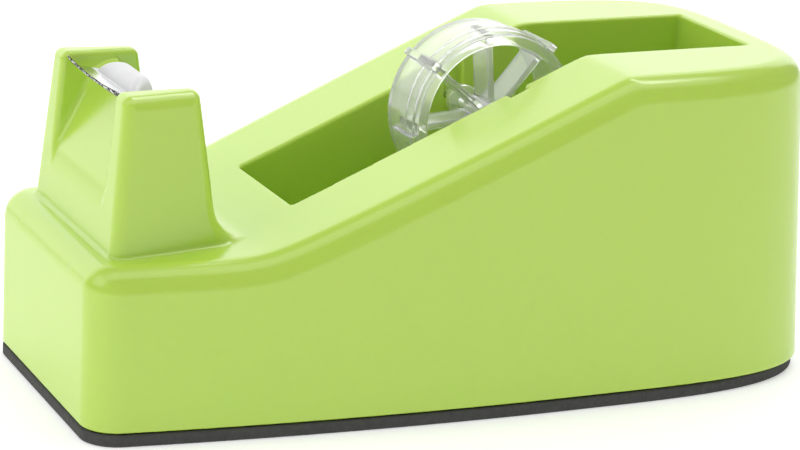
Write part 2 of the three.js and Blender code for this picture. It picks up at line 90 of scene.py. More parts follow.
TOWER_TOP = 44.15
TOWER_FRONT = (-49.9, -47.8)
TOWER_REAR = (-34.3, -37.1)
TOWER_HALF_WIDTH = (17.3, 16.1)  # at its front face
TOWER_NARROWING = 2.2  # each side, from its front to its back
TOWER_SIDE_RADIUS = 1.8  # along the edges of its sides
TOWER_CORNER_RADIUS = 1.1  # between its top and its front and back
TOWER_FOOT_RADIUS = 0.6  # fillet into the deck, in front and along its sides
TOWER_FLARE_RADIUS = 5.5  # its back runs out into the deck
TOWER_SOLID_TOP = 8  # how far below its top the hollow ends
GAP_HALF_WIDTH = 11.2
GAP_EDGE_RADIUS = 0.8  # where the gap opens through the skin
GAP_FILLET = 1.1  # where its floor meets the cheeks
RECESS_START = (-49.6, 29.4)
RECESS_LEAN = 0.55
SEAT_HEIGHT = 41.6
SEAT_REAR = -40.4
SEAT_FALL = math.radians(50)
SHOULDER_RADIUS = 4.3  # against the cheek
SHOULDER_TAPER = 0.3  # how fast it shrinks away from the cheek
SHOULDER_AXIS = (-40.3, 38.6)
SHOULDER_RISE = 0.9

WELL_FRONT = -22.7
WELL_REAR = 45
WELL_HALF_WIDTH = 10
WELL_FLOOR = 5.5
WELL_WALL = 2.4
WELL_EDGE_RADIUS = 0.4
WELL_CORNER_RADIUS = 0.5
WELL_FLOOR_RADIUS = 1
GROOVE_RADIUS = 1.3
GROOVE_DEPTH = 1.4

BOSSES = ((-44.5, 15.6), (38, 17.6))
BOSS_RADIUS = 3
BOSS_BOTTOM = 4.15
SCREW_BORE = 1.3
SCREW_BORE_TOP = 12.15

PAD_ROUNDING = 0.35
PAD_REAR_POWER = 3.6

RIM_INNER_RADIUS = 10.4
RIM_SPAN = (-4.95, 4.95)
RIM_STEPS = ((11.85, RIM_SPAN), (12.2, (-3.6, 4.95)), (12.4, (-1.6, 0.5)))  # each band's radius and span
HUB_RADIUS = 2.1
HUB_SPAN = (-3.8, 2.3)
HUB_BORE = 1.3
SPOKE_COUNT = 8
FIRST_SPOKE = 50  # in degrees about the axle, from +X towards +Z
SPOKE_THICKNESS = 0.9
SPOKE_SPAN = (-3.25, 1.85)
GRIP_SPAN = (-4.7, 4.7)
# each grip's place in degrees, as for the spokes, and its span
GRIPS = ((50, GRIP_SPAN), (140, GRIP_SPAN), (190, (-4.7, 2)), (275, GRIP_SPAN), (320, GRIP_SPAN))
GRIP_REACH = 13
GRIP_THICKNESS = 1.1
WHEEL_ROUNDING = 0.22

AXLE_RADIUS = 1
COLLAR_RADIUS = 2.3
COLLAR_AT = (6.2, 7.5)
AXLE_ROUNDING = 0.3
AXLE_SIDES = 48
ARC_STEPS = 5  # straight bits in each of its rounded corners

STEEL = 0.3  # thickness of the sheet
TOOTH_COUNT = 22
TOOTH_STEPS = 8  # points along each tooth
TOOTH_DEPTH = 0.6
TOOTH_EDGE = 0.12  # thickness at the tips
BLADE_HEIGHT = 43.4  # tips of the teeth at the middle of the blade
BLADE_BOW = 0.6
# the strip's rows before its bend: how far along its fall, as a share, and the thickness there
BLADE_ROWS = ((0, TOOTH_EDGE), (0.25, STEEL), (0.6, STEEL), (0.97, STEEL))
BLADE_BEND = (-46.0, 42.4)
BLADE_BACK = -43
BLADE_BACK_HALF_WIDTH = 7.4  # the level part draws in to here
LANDING_RADIUS = 2.35
LANDING_AXIS = (-42, 41.75)
LANDING_REAR = -40.5
LANDING_HALF_WIDTH = 5.2  # on its crest, above its axis
LANDING_TAPER = 0.65  # how far each side draws in per millimetre to the back
LANDING_LEAN = 0.8  # how far each side leans in per millimetre of height
LANDING_EDGE = 0.9  # rounding of its sides and back
LANDING_LIFT = 0.05  # gap between it and the seat


# ---------- fields ----------


def rounded_and(a, b, radius):
    """Inside both fields, with the edge where they meet rounded to a radius."""
    corner = np.hypot(np.maximum(a + radius, 0), np.maximum(b + radius, 0))
    return np.minimum(np.maximum(a, b), -radius) + corner


def rounded_or(a, b, radius):
    """Inside either field, with a fillet of a radius where they meet."""
    corner = np.hypot(np.maximum(radius - a, 0), np.maximum(radius - b, 0))
    return np.maximum(np.minimum(a, b), radius) - corner


def slab_field(value, low, high):
    return np.maximum(low - value, value - high)


def soft_max(a, b, softness):
    return (a + b + np.hypot(a - b, 2 * softness)) / 2


def deck_height(x):
    slope = FRONT_DECK + SLOPE_RISE * (x - SLOPE_FOOT)
    climbing = soft_max(FRONT_DECK, slope, DECK_BLEND)
    return -soft_max(-REAR_DECK, -climbing, DECK_BLEND / 4)


def deck_field(x, z):
    step = 0.01
    rise = (deck_height(x + step) - deck_height(x - step)) / (2 * step)
    return (z - deck_height(x)) / np.hypot(1, rise)


def plan_field(x, y, z):
    """The upright skin: a flat front, bowed sides, and a back that is half of a squircle."""
    above = z - BODY_BOTTOM
    bow = np.minimum(x - WIDEST_AT, 0) ** 2 / (2 * SIDE_BOW_RADIUS)
    half = HALF_WIDTH - SIDE_DRAFT * above - bow
    reach = REAR_FACE - WIDEST_AT - REAR_DRAFT * above
    along = np.maximum(x - WIDEST_AT, 0) / reach
    across = np.maximum(np.abs(y), TINY) / half
    size = np.sqrt(np.hypot(along * along, across * across))
    slope = np.hypot((along / size) ** 3 / reach, (across / size) ** 3 / half)
    front = FRONT_FACE + FRONT_DRAFT * above - x
    return rounded_and((size - 1) / slope, front, FRONT_CORNER_RADIUS)


def body_field(x, y, z):
    return rounded_and(plan_field(x, y, z), deck_field(x, z), TOP_EDGE_RADIUS)


def leaning(value, base, top, z):
    """Distance past a face that stands at base at the deck's height and at top at the tower's."""
    run = (top - base) / (TOWER_TOP - FRONT_DECK)
    return (value - base - run * (z - FRONT_DECK)) / math.hypot(1, run)


def tower_field(x, y, z):
    front = -leaning(x, *TOWER_FRONT, z)
    rear = leaning(x, *TOWER_REAR, z)
    flared = rounded_or(rear, deck_field(x, z) + TOWER_FOOT_RADIUS, TOWER_FLARE_RADIUS)
    share = np.clip((x - TOWER_FRONT[0]) / (TOWER_REAR[0] - TOWER_FRONT[0]), 0, 1)
    side = leaning(np.abs(y) + TOWER_NARROWING * share, *TOWER_HALF_WIDTH, z)
    beyond = x - TOWER_REAR[0] - 2 * TOWER_FLARE_RADIUS
    upright = np.maximum(np.maximum(front, flared), beyond)
    profile = rounded_and(upright, z - TOWER_TOP, TOWER_CORNER_RADIUS)
    return rounded_and(profile, side, TOWER_SIDE_RADIUS)


def above_fall(x, z):
    """Distance above the seat's back, which falls to the rear."""
    return (x - SEAT_REAR) * math.sin(SEAT_FALL) + (z - SEAT_HEIGHT) * math.cos(SEAT_FALL)


def gap_field(x, y, z):
    """The space between the cheeks, over a leaning floor, a level seat and the seat's falling back."""
    floor = ((x - RECESS_START[0]) - RECESS_LEAN * (z - RECESS_START[1])) / math.hypot(1, RECESS_LEAN)
    over_seat = rounded_or(SEAT_HEIGHT - z, -above_fall(x, z), EDGE)
    opening = np.maximum(rounded_or(floor, over_seat, EDGE), x - TOWER_REAR[0])
    return rounded_and(opening, np.abs(y) - GAP_HALF_WIDTH, GAP_FILLET)


def shoulder_field(x, y, z):
    """The conical shoulders on the seat, one against each cheek, which die away towards the middle."""
    radius = SHOULDER_RADIUS - SHOULDER_TAPER * (GAP_HALF_WIDTH - np.abs(y))
    cone = np.hypot(x - SHOULDER_AXIS[0], z - SHOULDER_AXIS[1]) - radius
    return np.maximum(cone, above_fall(x, z) - SHOULDER_RISE)


def outer_field(x, y, z):
    skin = rounded_or(body_field(x, y, z), tower_field(x, y, z), TOWER_FOOT_RADIUS)
    open_skin = rounded_and(skin, -gap_field(x, y, z), GAP_EDGE_RADIUS)
    return rounded_or(open_skin, np.maximum(shoulder_field(x, y, z), skin + EDGE), EDGE)


def well_field(x, y, z):
    along = slab_field(x, WELL_FRONT, WELL_REAR)
    plan = rounded_and(along, np.abs(y) - WELL_HALF_WIDTH, WELL_CORNER_RADIUS)
    return rounded_and(plan, WELL_FLOOR - z, WELL_FLOOR_RADIUS)


def groove_field(x, y, z):
    slot = np.maximum(np.abs(x - AXLE_X) - GROOVE_RADIUS, AXLE_Z - z)
    seat = np.hypot(x - AXLE_X, z - AXLE_Z) - GROOVE_RADIUS
    return np.maximum(np.minimum(slot, seat), np.abs(y) - WELL_HALF_WIDTH - GROOVE_DEPTH)


def boss_distance(x, y):
    return np.minimum(*(np.hypot(x - at_x, np.abs(y) - at_y) for at_x, at_y in BOSSES))


def hollow_field(x, y, z, outer, well):
    """What the moulding leaves out inside, down to its open underside."""
    hollow = np.maximum(outer + WALL, z - TOWER_TOP + TOWER_SOLID_TOP)
    jacket = np.maximum(well - WELL_WALL, BOSS_BOTTOM - z)
    bosses = np.maximum(boss_distance(x, y) - BOSS_RADIUS, BOSS_BOTTOM - z)
    hollow = rounded_and(hollow, -jacket, EDGE)
    return rounded_and(hollow, -bosses, EDGE)


def housing_field(x, y, z):
    outer = outer_field(x, y, z)
    well = well_field(x, y, z)
    hollow = hollow_field(x, y, z, outer, well)
    open_well = rounded_and(outer, -well, WELL_EDGE_RADIUS)
    grooved = rounded_and(open_well, -groove_field(x, y, z), EDGE)
    shell = rounded_and(grooved, -hollow, EDGE)
    bores = np.maximum(boss_distance(x, y) - SCREW_BORE, z - SCREW_BORE_TOP)
    bored = np.maximum(shell, -bores)
    return rounded_and(bored, BODY_BOTTOM - z, EDGE)


def wheel_field(x, y, z):
    right, up = x - AXLE_X, z - AXLE_Z
    radius = np.hypot(right, up)

    def plate(degrees, inner, outer, thickness, span):
        turn = math.radians(degrees)
        along = math.cos(turn) * right + math.sin(turn) * up
        across = math.cos(turn) * up - math.sin(turn) * right
        flat = rounded_and(slab_field(along, inner, outer), np.abs(across) - thickness / 2, WHEEL_ROUNDING)
        return rounded_and(flat, slab_field(y, *span), WHEEL_ROUNDING)

    rim = np.inf
    for reach, span in RIM_STEPS:
        rim = np.minimum(rim, rounded_and(radius - reach, slab_field(y, *span), WHEEL_ROUNDING / 2))
    rim = rounded_and(rim, RIM_INNER_RADIUS - radius, WHEEL_ROUNDING)
    for degrees, span in GRIPS:
        grip = plate(degrees, RIM_INNER_RADIUS + 1, GRIP_REACH, GRIP_THICKNESS, span)
        rim = rounded_or(rim, grip, WHEEL_ROUNDING)
    wheel = rounded_and(radius - HUB_RADIUS, slab_field(y, *HUB_SPAN), WHEEL_ROUNDING)
    for spoke in range(SPOKE_COUNT):
        degrees = FIRST_SPOKE + spoke * 360 / SPOKE_COUNT
        arm = plate(degrees, HUB_RADIUS - 0.5, RIM_INNER_RADIUS + 1, SPOKE_THICKNESS, SPOKE_SPAN)
        wheel = rounded_or(wheel, arm, WHEEL_ROUNDING)
    wheel = rounded_or(wheel, rim, WHEEL_ROUNDING)
    return rounded_and(wheel, HUB_BORE - radius, WHEEL_ROUNDING / 2)


def landing_field(x, y, z):
    """The arched steel landing behind the teeth, which narrows to the rear."""
    arch = np.hypot(x - LANDING_AXIS[0], z - LANDING_AXIS[1]) - LANDING_RADIUS
    top = LANDING_AXIS[1] + LANDING_RADIUS
    half = LANDING_HALF_WIDTH - LANDING_TAPER * (x - LANDING_AXIS[0]) + LANDING_LEAN * (top - z)
    side = (np.abs(y) - half) / math.hypot(1, LANDING_TAPER, LANDING_LEAN)
    hump = rounded_and(arch, side, LANDING_EDGE)
    return np.maximum(rounded_and(hump, x - LANDING_REAR, LANDING_EDGE), SEAT_HEIGHT + LANDING_LIFT - z)


def pad_field(x, y, z):
    """The pad follows the foot of the housing, a little rounder at the back."""
    bow = np.minimum(x - WIDEST_AT, 0) ** 2 / (2 * SIDE_BOW_RADIUS)
    half = PAD_HIGH[1] - bow
    along = np.maximum(x - WIDEST_AT, 0) / (PAD_HIGH[0] - WIDEST_AT)
    across = np.maximum(np.abs(y), TINY) / half
    p = PAD_REAR_POWER
    size = (along**p + across**p) ** (1 / p)
    plan = rounded_and((size - 1) * half, PAD_LOW[0] - x, FRONT_CORNER_RADIUS)
    return rounded_and(plan, slab_field(z, PAD_LOW[2], PAD_HIGH[2]), PAD_ROUNDING)


# ---------- from fields to meshes ----------

GRID_MARGIN = 0.7  # how far a grid reaches past its piece
COARSE_GRID = 0.8
EDGE_GRID = 0.35
FINE_GRID = 0.27
FOOT_GRID = 0.2
TOWER_GRID_END = -32  # the fine grid about the tower ends here
TOP_GRID_START = 22  # and the one below the decks starts here
WELL_END_REACH = 2  # the closer grid runs this far to each side of the well's ends
GROOVE_REACH = 1
WHEEL_GRID = 0.18
WHEEL_MARGIN = 0.4
PAD_GRID = 0.5
PAD_GRID_UPWARD = 0.12
PAD_MARGIN_UPWARD = 0.3
LANDING_GRID = 0.08
LANDING_GRID_ACROSS = 0.12
LANDING_MARGIN = 0.3
SKIN_ROUNDS = 2  # how often points are moved towards the skin each time
EVENING_ROUNDS = 2
GRADIENT_STEP = 0.02
LEAST_STEEPNESS = 0.2  # of a field, squared
WELD_DISTANCE = 0.005
BEVEL_WIDTH = 0.05
BEVEL_ANGLE = math.radians(50)


def spaced(*stretches):
    """Grid lines along one axis, from (start, end, step) stretches that follow each other."""
    lines = [np.arange(start, end - step / 2, step) for start, end, step in stretches]
    return np.append(np.concatenate(lines), stretches[-1][1])


def crossing_points(values, cells, axes):
    """The middle of the points where the skin crosses each cell's edges."""
    total = np.zeros((len(cells[0]), 3))
    count = np.zeros(len(cells[0]))
    for axis in range(3):
        others = [a for a in range(3) if a != axis]
        for corner in range(4):
            start = list(cells)
            start[others[0]] = cells[others[0]] + corner % 2
            start[others[1]] = cells[others[1]] + corner // 2
            end = list(start)
            end[axis] = start[axis] + 1
            first, second = values[tuple(start)], values[tuple(end)]
            crossed = (first < 0) != (second < 0)
            share = np.where(crossed, first / np.where(crossed, first - second, 1), 0)
            for a in range(3):
                low, high = axes[a][start[a]], axes[a][end[a]]
                total[:, a] += np.where(crossed, low + share * (high - low), 0)
            count += crossed
    return total / count[:, None]


def net(values, axes):
    """Surface nets: a point in each cell that the skin crosses, and a quad about each crossed edge."""
    inside = values < 0
    counts = np.zeros([n - 1 for n in values.shape], np.int8)
    for i in (0, 1):
        for j in (0, 1):
            for k in (0, 1):
                shifted = inside[i : i - 1 or None, j : j - 1 or None, k : k - 1 or None]
                counts += shifted
    cells = np.nonzero((counts > 0) & (counts < 8))
    points = crossing_points(values, cells, axes)
    number = np.full(counts.shape, -1, np.int32)
    number[cells] = np.arange(len(points))
    quads = []
    for axis in range(3):
        u, v = (axis + 1) % 3, (axis + 2) % 3
        first = np.moveaxis(inside, axis, 0)[:-1]
        second = np.moveaxis(inside, axis, 0)[1:]
        changed = np.moveaxis(first != second, 0, axis)
        leaving = np.moveaxis(first & ~second, 0, axis)
        edge = list(np.nonzero(changed))
        kept = (edge[u] > 0) & (edge[v] > 0)
        kept &= (edge[u] < counts.shape[u]) & (edge[v] < counts.shape[v])
        edge = [e[kept] for e in edge]
        outward = leaving[tuple(edge)]
        corners = []
        for du, dv in ((-1, -1), (0, -1), (0, 0), (-1, 0)):
            cell = list(edge)
            cell[u] = edge[u] + du
            cell[v] = edge[v] + dv
            corners.append(number[tuple(cell)])
        ring = np.stack(corners, 1)
        quads.append(np.where(outward[:, None], ring, ring[:, ::-1]))
    return points, np.concatenate(quads)


def slope_of(field, points):
    """The field and its gradient at some points."""
    step = np.float32(GRADIENT_STEP)
    x, y, z = points.astype(np.float32).T
    value = field(x, y, z)
    ahead = [field(x + step, y, z), field(x, y + step, z), field(x, y, z + step)]
    return value, np.stack([(a - value) / step for a in ahead], 1)


def onto_skin(field, points, reach):
    """Moves points along the field's gradient until they lie on its skin."""
    for _ in range(SKIN_ROUNDS):
        value, gradient = slope_of(field, points)
        steep = np.maximum((gradient**2).sum(1), LEAST_STEEPNESS)
        shift = -gradient * (value / steep)[:, None]
        length = np.linalg.norm(shift, axis=1)
        shift *= np.minimum(1, reach / np.maximum(length, 1e-9))[:, None]
        points = points + shift
    return points


def evened(points, quads):
    """Moves each point towards the middle of its neighbours, which evens out the mesh."""
    total = np.zeros_like(points)
    count = np.zeros(len(points))
    for side in range(4):
        here, there = quads[:, side], quads[:, (side + 1) % 4]
        for a, b in ((here, there), (there, here)):
            for axis in range(3):
                total[:, axis] += np.bincount(a, points[b, axis], len(points))
            count += np.bincount(a, minlength=len(points))
    return (points + total / count[:, None]) / 2


def surface_of(field, axes, both_sides=False):
    """The skin of a field. With both_sides, the field is the same at y and -y, and so is its grid."""
    x, y, z = (a.astype(np.float32) for a in axes)
    middle = len(y) // 2 if both_sides else 0
    values = field(x[:, None, None], y[None, middle:, None], z[None, None, :])
    if both_sides:
        values = np.concatenate([values[:, :0:-1], values], 1)
    points, quads = net(values, axes)
    reach = min(np.diff(a).min() for a in axes)
    points = onto_skin(field, points, reach)
    for _ in range(EVENING_ROUNDS):
        points = onto_skin(field, evened(points, quads), reach)
    return points, quads


def new_object(name, points, faces, material):
    """A mesh object from points in millimetres and faces that all have the same number of corners."""
    faces = np.asarray(faces)
    mesh = bpy.data.meshes.new(name)
    mesh.vertices.add(len(points))
    mesh.vertices.foreach_set("co", (np.asarray(points) * MM).astype(np.float32).ravel())
    mesh.loops.add(faces.size)
    mesh.loops.foreach_set("vertex_index", faces.ravel().astype(np.int32))
    mesh.polygons.add(len(faces))
    mesh.polygons.foreach_set("loop_start", np.arange(0, faces.size, faces.shape[1], dtype=np.int32))
    mesh.update(calc_edges=True)
    mesh.validate()
    mesh.polygons.foreach_set("use_smooth", np.full(len(mesh.polygons), True))
    mesh.materials.append(material)
    made = bpy.data.objects.new(name, mesh)
    bpy.context.scene.collection.objects.link(made)
    return made


def applied(piece):
    """Puts the result of a piece's modifiers into its mesh."""
    bpy.context.view_layer.update()
    graph = bpy.context.evaluated_depsgraph_get()
    mesh = bpy.data.meshes.new_from_object(piece.evaluated_get(graph), depsgraph=graph)
    old = piece.data
    piece.modifiers.clear()
    piece.data = mesh
    bpy.data.meshes.remove(old)
    mesh.name = piece.name


def shaded_by(piece, field):
    """Shades a piece as its field's skin curves, whatever the sizes of its triangles."""
    flat = np.empty(3 * len(piece.data.vertices), np.float32)
    piece.data.vertices.foreach_get("co", flat)
    _, gradient = slope_of(field, flat.reshape(-1, 3) / MM)
    normals = gradient / np.maximum(np.linalg.norm(gradient, axis=1), 1e-6)[:, None]
    piece.data.normals_split_custom_set_from_vertices(normals.tolist())


# ---------- materials ----------


class Nodes:
    """A short way to write a material's nodes."""

    def __init__(self, name):
        self.material = bpy.data.materials.new(name)
        self.material.use_nodes = True
        self.tree = self.material.node_tree
        self.shader = self.tree.nodes["Principled BSDF"]

    def add(self, kind, **values):
        node = self.tree.nodes.new(kind)
        for key, value in values.items():
            if hasattr(node, key):
                setattr(node, key, value)
            else:
                node.inputs[key.replace("_", " ")].default_value = value
        return node

    def link(self, source, target):
        self.tree.links.new(source, target)

    def noise(self, scale, detail=3.0, roughness=0.5):
        place = self.add("ShaderNodeTexCoord")
        texture = self.add("ShaderNodeTexNoise", Scale=scale, Detail=detail, Roughness=roughness)
        self.link(place.outputs["Object"], texture.inputs["Vector"])
        return texture.outputs["Fac"]

    def ramp(self, source, low, high):
        ramp = self.add("ShaderNodeValToRGB")
        ramp.color_ramp.elements[0].color = (*low, 1)
        ramp.color_ramp.elements[1].color = (*high, 1)
        self.link(source, ramp.inputs["Fac"])
        return ramp

    def across(self, source, stretch, low, high):
        """Goes from low to high as the source crosses a stretch."""
        start, end = stretch
        spread = self.add("ShaderNodeMapRange", From_Min=start, From_Max=end, To_Min=low, To_Max=high)
        self.link(source, spread.inputs["Value"])
        return spread.outputs["Result"]

    def spread(self, source, low, high):
        return self.across(source, (0.0, 1.0), low, high)

    def bump(self, source, strength, distance):
        bump = self.add("ShaderNodeBump", Strength=strength, Distance=distance)
        self.link(source, bump.inputs["Height"])
        self.link(bump.outputs["Normal"], self.shader.inputs["Normal"])


def lime_plastic():
    nodes = Nodes("lime_plastic")
    mottle = nodes.noise(45, 4)
    colour = nodes.ramp(mottle, (0.54, 0.775, 0.098), (0.555, 0.79, 0.106))
    nodes.link(colour.outputs["Color"], nodes.shader.inputs["Base Color"])
    nodes.link(nodes.spread(nodes.noise(160, 5), 0.2, 0.215), nodes.shader.inputs["Roughness"])
    nodes.shader.inputs["IOR"].default_value = 1.5
    nodes.shader.inputs["Specular IOR Level"].default_value = 0.8
    nodes.shader.inputs["Subsurface Weight"].default_value = 0.35
    nodes.shader.inputs["Subsurface Radius"].default_value = (1, 0.75, 0.2)
    nodes.shader.inputs["Subsurface Scale"].default_value = 0.0016
    nodes.bump(nodes.noise(420, 3), 0.04, 0.0002)
    return nodes.material


def clear_plastic():
    nodes = Nodes("clear_plastic")
    nodes.shader.inputs["Base Color"].default_value = (0.99, 1, 0.995, 1)
    nodes.shader.inputs["Transmission Weight"].default_value = 0.8
    nodes.shader.inputs["IOR"].default_value = 1.49
    nodes.link(nodes.spread(nodes.noise(300, 4), 0.08, 0.16), nodes.shader.inputs["Roughness"])
    nodes.bump(nodes.noise(900, 2), 0.05, 0.0001)
    return nodes.material


TOOTH_SHADE_FADE = (-46.75 * MM, -46.6 * MM)  # along X: before it the teeth are painted shade, near black with grey flecks
LANDING_FADE = (-44.6 * MM, -44.2 * MM)  # along X: a polished strip before it, the dull landing after it


def blade_steel():
    """Steel with painted shade on its teeth, near black with grey flecks, polished on the strip behind
    them and dull on the landing.
    """
    nodes = Nodes("blade_steel")
    place = nodes.add("ShaderNodeTexCoord")
    parts = nodes.add("ShaderNodeSeparateXYZ")
    nodes.link(place.outputs["Object"], parts.inputs["Vector"])
    along = parts.outputs["X"]

    steel = nodes.ramp(nodes.noise(220, 5), (0.74, 0.74, 0.75), (0.84, 0.84, 0.845))
    # painted shade: the teeth are coloured near black, flecked with grey, to stand in for the dark band of
    # shade along them
    shade_flecks = nodes.across(nodes.noise(2200, 2), (0.42, 0.58), 0.0, 1.0)
    tooth_shade = nodes.ramp(shade_flecks, (0.01, 0.01, 0.01), (0.6, 0.6, 0.58))
    past_tooth_shade = nodes.across(along, TOOTH_SHADE_FADE, 0.0, 1.0)
    colour = nodes.add("ShaderNodeMix", data_type="RGBA")
    nodes.link(past_tooth_shade, colour.inputs["Factor"])
    nodes.link(tooth_shade.outputs["Color"], colour.inputs["A"])
    nodes.link(steel.outputs["Color"], colour.inputs["B"])
    nodes.link(colour.outputs["Result"], nodes.shader.inputs["Base Color"])

    stretch = nodes.add("ShaderNodeMapping")
    stretch.inputs["Scale"].default_value = (260, 2600, 260)
    nodes.link(place.outputs["Object"], stretch.inputs["Vector"])
    grain = nodes.add("ShaderNodeTexNoise", Scale=1.0, Detail=3.0)
    nodes.link(stretch.outputs["Vector"], grain.inputs["Vector"])
    satin = nodes.spread(grain.outputs["Fac"], 0.5, 0.7)
    polish = nodes.across(along, LANDING_FADE, 0.25, 1.0)
    rough = nodes.add("ShaderNodeMath", operation="MULTIPLY")
    nodes.link(satin, rough.inputs[0])
    nodes.link(polish, rough.inputs[1])
    nodes.link(rough.outputs["Value"], nodes.shader.inputs["Roughness"])
    nodes.link(nodes.across(along, LANDING_FADE, 1.0, 0.45), nodes.shader.inputs["Metallic"])
    nodes.bump(grain.outputs["Fac"], 0.05, 0.0001)
    return nodes.material


def foam():
    nodes = Nodes("foam_pad")
    colour = nodes.ramp(nodes.noise(900, 6, 0.7), (0.045, 0.045, 0.043), (0.1, 0.1, 0.097))
    nodes.link(colour.outputs["Color"], nodes.shader.inputs["Base Color"])
    nodes.shader.inputs["Roughness"].default_value = 0.95
    cells = nodes.add("ShaderNodeTexVoronoi", Scale=1600.0)
    place = nodes.add("ShaderNodeTexCoord")
    nodes.link(place.outputs["Object"], cells.inputs["Vector"])
    nodes.bump(cells.outputs["Distance"], 0.5, 0.0002)
    return nodes.material


def grey_plastic():
    nodes = Nodes("grey_plastic")
    colour = nodes.ramp(nodes.noise(60, 4), (0.1, 0.105, 0.103), (0.13, 0.135, 0.132))
    nodes.link(colour.outputs["Color"], nodes.shader.inputs["Base Color"])
    nodes.link(nodes.spread(nodes.noise(240, 4), 0.42, 0.6), nodes.shader.inputs["Roughness"])
    nodes.bump(nodes.noise(1500, 3), 0.15, 0.0001)
    return nodes.material


def screw_steel():
    nodes = Nodes("screw_steel")
    nodes.shader.inputs["Metallic"].default_value = 1
    colour = nodes.ramp(nodes.noise(500, 4), (0.5, 0.5, 0.51), (0.66, 0.66, 0.66))
    nodes.link(colour.outputs["Color"], nodes.shader.inputs["Base Color"])
    nodes.link(nodes.spread(nodes.noise(900, 4), 0.25, 0.42), nodes.shader.inputs["Roughness"])
    nodes.bump(nodes.noise(2500, 2), 0.1, 0.00005)
    return nodes.material


def cast_iron():
    nodes = Nodes("cast_iron")
    nodes.shader.inputs["Metallic"].default_value = 0.85
    colour = nodes.ramp(nodes.noise(350, 6, 0.65), (0.045, 0.046, 0.048), (0.12, 0.118, 0.115))
    nodes.link(colour.outputs["Color"], nodes.shader.inputs["Base Color"])
    nodes.link(nodes.spread(nodes.noise(500, 5), 0.5, 0.8), nodes.shader.inputs["Roughness"])
    nodes.bump(nodes.noise(1100, 5, 0.6), 0.6, 0.0003)
    return nodes.material


# ---------- pieces ----------


def make_housing(material):
    """The grid is closer where the tower, the axle grooves and the ends of the well have small edges."""
    well_front = (WELL_FRONT - WELL_END_REACH, WELL_FRONT + WELL_END_REACH)
    groove = (AXLE_X - GROOVE_RADIUS - GROOVE_REACH, AXLE_X + GROOVE_RADIUS + GROOVE_REACH)
    well_rear = (WELL_REAR - WELL_END_REACH, WELL_REAR + WELL_END_REACH)
    along = spaced(
        (FRONT_FACE - GRID_MARGIN, TOWER_GRID_END, FINE_GRID),
        (TOWER_GRID_END, well_front[0], 0.6),
        (*well_front, EDGE_GRID),
        (well_front[1], groove[0], COARSE_GRID),
        (*groove, FINE_GRID),
        (groove[1], well_rear[0], COARSE_GRID),
        (*well_rear, EDGE_GRID),
        (well_rear[1], REAR_FACE + GRID_MARGIN, 0.5),
    )
    reach = HALF_WIDTH + GRID_MARGIN
    across = np.linspace(-reach, reach, 2 * math.ceil(reach / 0.4) + 1)
    upward = spaced(
        (BODY_BOTTOM - 0.4, BODY_BOTTOM + 1, FOOT_GRID),
        (BODY_BOTTOM + 1, TOP_GRID_START, COARSE_GRID),
        (TOP_GRID_START, REAR_DECK + 0.8, 0.3),
    )
    points, quads = surface_of(housing_field, (along, across, upward), both_sides=True)
    piece = new_object("housing_shell", points, quads, material)
    shaded_by(piece, housing_field)
    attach(piece, "housing")
    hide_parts("housing")


def make_wheel(material):
    reach = GRIP_REACH + WHEEL_MARGIN
    across = RIM_SPAN[1] + WHEEL_MARGIN
    axes = (
        spaced((AXLE_X - reach, AXLE_X + reach, WHEEL_GRID)),
        spaced((-across, across, WHEEL_GRID)),
        spaced((AXLE_Z - reach, AXLE_Z + reach, WHEEL_GRID)),
    )
    points, quads = surface_of(wheel_field, axes)
    piece = new_object("core_wheel_clear", points, quads, material)
    shaded_by(piece, wheel_field)
    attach(piece, "wheel")
    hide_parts("core_wheel")


def rounded_outline(corners, radius):
    """An open line through corners, with each corner between the ends turned on a radius."""
    corners = [np.array(c, float) for c in corners]
    line = [corners[0]]
    for before, corner, after in zip(corners, corners[1:], corners[2:]):
        back, forth = before - corner, after - corner
        cut = min(radius, 0.45 * np.linalg.norm(back), 0.45 * np.linalg.norm(forth))
        start = corner + back / np.linalg.norm(back) * cut
        end = corner + forth / np.linalg.norm(forth) * cut
        for i in range(ARC_STEPS + 1):
            t = i / ARC_STEPS
            line.append((1 - t) ** 2 * start + 2 * t * (1 - t) * corner + t**2 * end)
    return line + [corners[-1]]


def turned(outline, sides):
    """Points and quads of an outline of (radius, y) turned about the wheel's axis."""
    count = len(outline)
    angles = np.arange(sides) * 2 * np.pi / sides
    points = [
        (AXLE_X + max(radius, TINY) * np.cos(a), y, AXLE_Z + max(radius, TINY) * np.sin(a))
        for a in angles
        for radius, y in outline
    ]
    quads = []
    for side in range(sides):
        here, there = side * count, (side + 1) % sides * count
        for i in range(count - 1):
            quads.append((here + i, there + i, there + i + 1, here + i + 1))
    return points, quads


def make_axle(material):
    half = AXLE_HIGH[1]
    inner, outer = COLLAR_AT
    side = [
        (AXLE_RADIUS, inner), (COLLAR_RADIUS, inner), (COLLAR_RADIUS, outer),
        (AXLE_RADIUS, outer), (AXLE_RADIUS, half), (0, half),
    ]
    corners = [(radius, -y) for radius, y in reversed(side)] + side
    points, quads = turned(rounded_outline(corners, AXLE_ROUNDING), AXLE_SIDES)
    piece = new_object("axle_pin_clear", points, quads, material)
    weld = piece.modifiers.new("weld", "WELD")
    weld.merge_threshold = WELD_DISTANCE * MM
    applied(piece)
    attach(piece, "axle")
    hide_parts("axle_pin")


def make_pad(material):
    axes = (
        spaced((PAD_LOW[0] - GRID_MARGIN, PAD_HIGH[0] + GRID_MARGIN, PAD_GRID)),
        spaced((PAD_LOW[1] - GRID_MARGIN, PAD_HIGH[1] + GRID_MARGIN, PAD_GRID)),
        spaced((PAD_LOW[2] - PAD_MARGIN_UPWARD, PAD_HIGH[2] + PAD_MARGIN_UPWARD, PAD_GRID_UPWARD)),
    )
    points, quads = surface_of(pad_field, axes)
    piece = new_object("foam_pad", points, quads, material)
    shaded_by(piece, pad_field)
    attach(piece, "housing")
    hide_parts("non_slip_pad")


